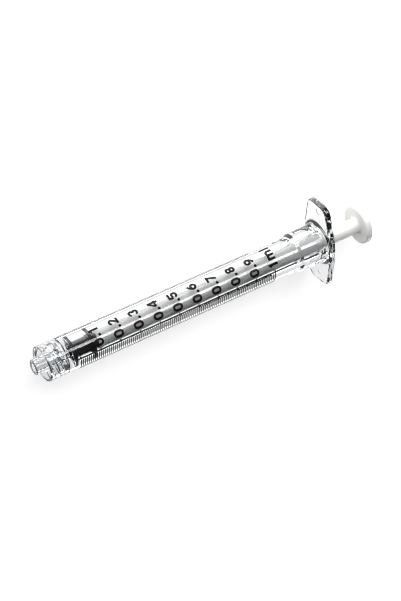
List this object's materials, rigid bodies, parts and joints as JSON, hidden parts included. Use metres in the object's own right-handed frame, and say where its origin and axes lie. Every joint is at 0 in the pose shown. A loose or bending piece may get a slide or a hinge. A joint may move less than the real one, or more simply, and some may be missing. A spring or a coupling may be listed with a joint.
{
  "type": "oral syringe",
  "caption": "Slim clear 1 mL dosing syringe with a locking cone tip, finger flange, printed scale, black stopper and sliding plunger rod with a round thumb rest.",
  "frame": {"origin": "centre of the end face of the cone tip, on the barrel's axis", "axes": "+X along the barrel from the tip to the thumb rest, +Y along the long side of the finger flange, +Z square to the broad side of the flange, up when the syringe lies down with its scale upward"},
  "size_m": [0.0957, 0.0242, 0.012],
  "materials": {
    "clear_plastic": "clear, polished mould finish",
    "white_plastic": "natural white, satin",
    "black_rubber": "smooth, lubricated",
    "black_ink": "printed, matt"
  },
  "bodies": {
    "barrel": {"barrel": "clear_plastic", "scale_lines": "black_ink", "scale_numerals": "black_ink"},
    "plunger": {"plunger_rod": "white_plastic", "stopper": "black_rubber"}
  },
  "joints": [
    {"name": "plunger_slide", "type": "slide", "parent": "barrel", "child": "plunger", "axis": [1, 0, 0], "range_m": [0, 0.0565]}
  ]
}
